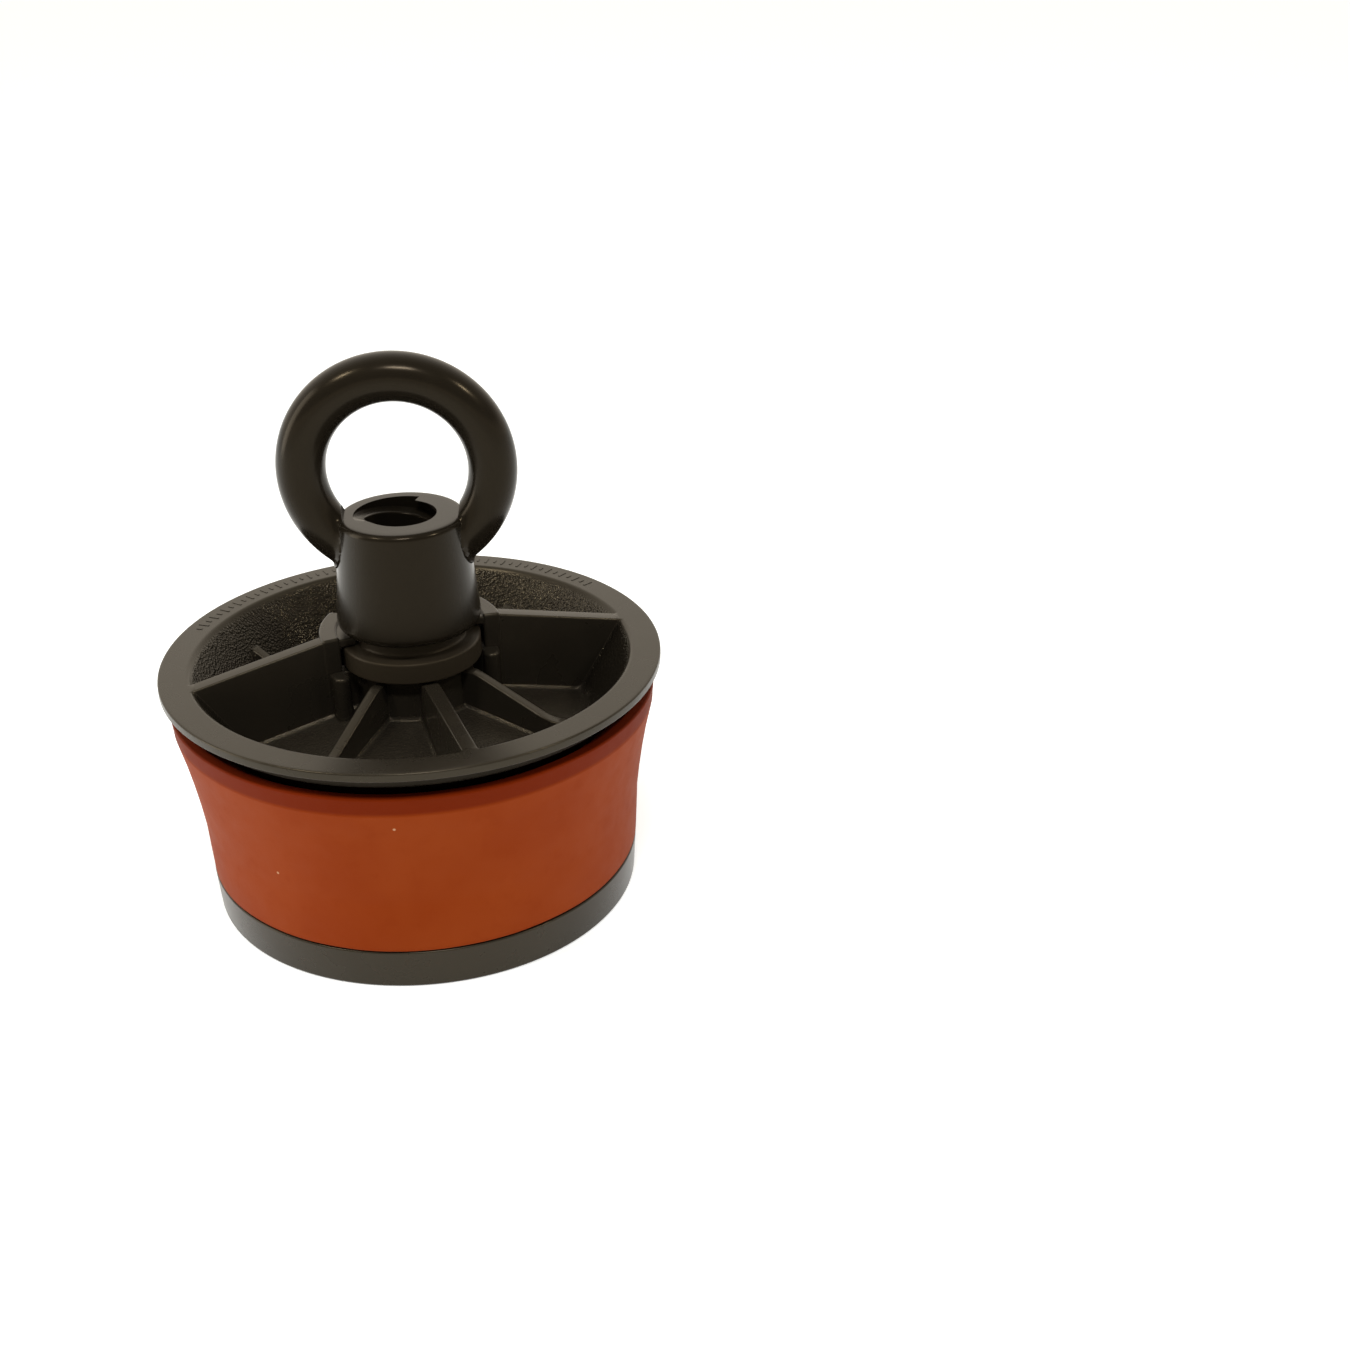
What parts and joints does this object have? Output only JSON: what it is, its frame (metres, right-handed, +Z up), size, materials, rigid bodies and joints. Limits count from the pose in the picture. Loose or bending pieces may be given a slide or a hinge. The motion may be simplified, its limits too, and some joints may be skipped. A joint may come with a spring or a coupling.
{
  "type": "expansion duct plug",
  "caption": "Screw-down duct plug: a flared rubber ring between two round stiff plastic plates, squeezed by an eye nut with a pull ring on a threaded stud.",
  "frame": {"origin": "Centre of the bottom plate's resting face, on the plug's axis.", "axes": "+Z runs up the stud from the bottom plate to the pull ring. The pull ring stands in the XZ plane at rest, and its eye opens along Y."},
  "size_m": [0.116, 0.116, 0.1307],
  "materials": {
    "plate_plastic": "dark brown-grey moulded plastic, satin, with a leathery grain inside the dish",
    "nut_plastic": "dark brown-grey moulded plastic, smooth and semi-gloss",
    "stud_plastic": "dark moulded plastic",
    "seal_rubber": "brick-orange elastomer, matt",
    "o_ring_rubber": "black rubber"
  },
  "bodies": {
    "base": {"bottom_plate": "plate_plastic", "threaded_stud": "stud_plastic", "stud_o_ring": "o_ring_rubber", "seal_ring": "seal_rubber"},
    "plate": {"top_plate": "plate_plastic"},
    "nut": {"eye_nut": "nut_plastic"}
  },
  "joints": [
    {"name": "plate_slide", "type": "slide", "parent": "base", "child": "plate", "axis": [0, 0, 1], "range_m": [-0.006, 0], "deforming": ["seal_ring"]},
    {"name": "nut_turn", "type": "hinge", "parent": "plate", "child": "nut", "pos_m": [0, 0, 0.078], "axis": [0, 0, 1], "range_deg": [-240, 0]}
  ],
  "couplings": [
    {"joint": "nut_turn", "follows": "plate_slide", "rad_per_m": 698.13}
  ]
}
